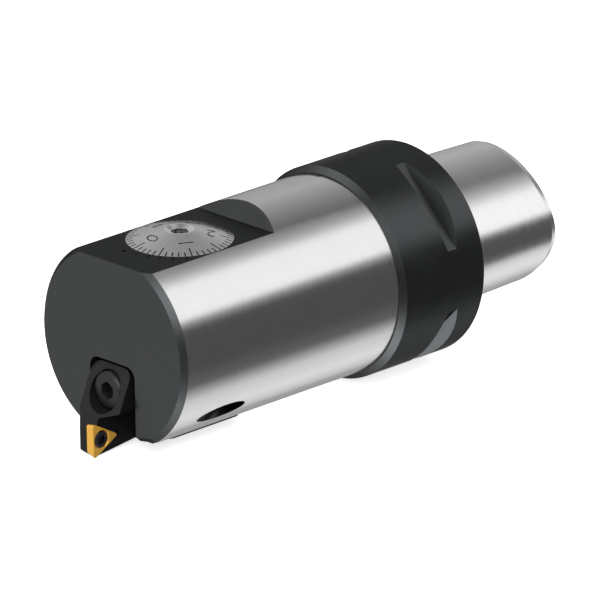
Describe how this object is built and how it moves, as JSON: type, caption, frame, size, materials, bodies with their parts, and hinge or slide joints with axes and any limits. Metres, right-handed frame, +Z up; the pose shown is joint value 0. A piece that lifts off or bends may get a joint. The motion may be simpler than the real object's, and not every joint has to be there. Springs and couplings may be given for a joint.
{
  "type": "boring head",
  "caption": "Fine boring head on a polygon taper shank; a graduated dial feeds a slide and its insert cartridge outwards.",
  "frame": {"origin": "on the tool axis at the gauge face, the rear face of the flange", "axes": "+X along the tool axis into the spindle, +Z up through the dial, cutting tip at -Z, rake face looking along -Y"},
  "size_m": [0.103, 0.04, 0.04],
  "materials": {
    "head_steel": "fine-ground hardened steel with a black oxide flange and front face",
    "black_steel": "black oxide, satin",
    "black_screw": "black oxide, satin",
    "hardened_steel": "ground steel",
    "spring_steel": "drawn wire",
    "dial_chrome": "satin chrome with engraved divisions",
    "bronze": "machined bearing bronze",
    "brass": "machined brass",
    "seal_rubber": "nitrile rubber",
    "coated_carbide": "gold-coloured hard coating on carbide",
    "screw_steel": "heat-treated screw steel, purple-grey"
  },
  "bodies": {
    "head": {"head_body": "head_steel", "bearing_bush": "bronze", "lower_thrust_washer": "hardened_steel", "upper_thrust_washer": "hardened_steel", "bearing_nut": "black_steel", "dial_seal": "seal_rubber", "stop_pin": "hardened_steel", "backlash_spring": "spring_steel"},
    "dial": {"adjusting_screw": "hardened_steel", "scale_disc": "dial_chrome"},
    "slide": {"slide": "black_steel", "feed_nut": "bronze", "nut_pin": "hardened_steel", "spring_seat": "hardened_steel", "cartridge": "black_steel", "cartridge_screw": "black_screw", "cartridge_dowels": "hardened_steel", "insert": "coated_carbide", "insert_screw": "screw_steel"},
    "lock_pad": {"lock_pad": "brass"},
    "lock_screw": {"lock_screw": "black_screw"}
  },
  "joints": [
    {"name": "dial_turn", "type": "hinge", "parent": "head", "child": "dial", "pos_m": [-0.0571, 0, 0], "axis": [0, 0, -1], "range_deg": [-360, 4680]},
    {"name": "slide_feed", "type": "slide", "parent": "head", "child": "slide", "axis": [0, 0, -1], "range_m": [-0.0005, 0.0065], "deforming": ["backlash_spring"]},
    {"name": "pad_travel", "type": "slide", "parent": "head", "child": "lock_pad", "axis": [0, 1, 0], "range_m": [0, 0.0005]},
    {"name": "lock_turn", "type": "hinge", "parent": "lock_pad", "child": "lock_screw", "pos_m": [-0.0605, 0, -0.008], "axis": [0, 1, 0], "range_deg": [0, 180]}
  ],
  "couplings": [
    {"joint": "dial_turn", "follows": "slide_feed", "rad_per_m": 12566},
    {"joint": "lock_turn", "follows": "pad_travel", "rad_per_m": 6283.2}
  ]
}
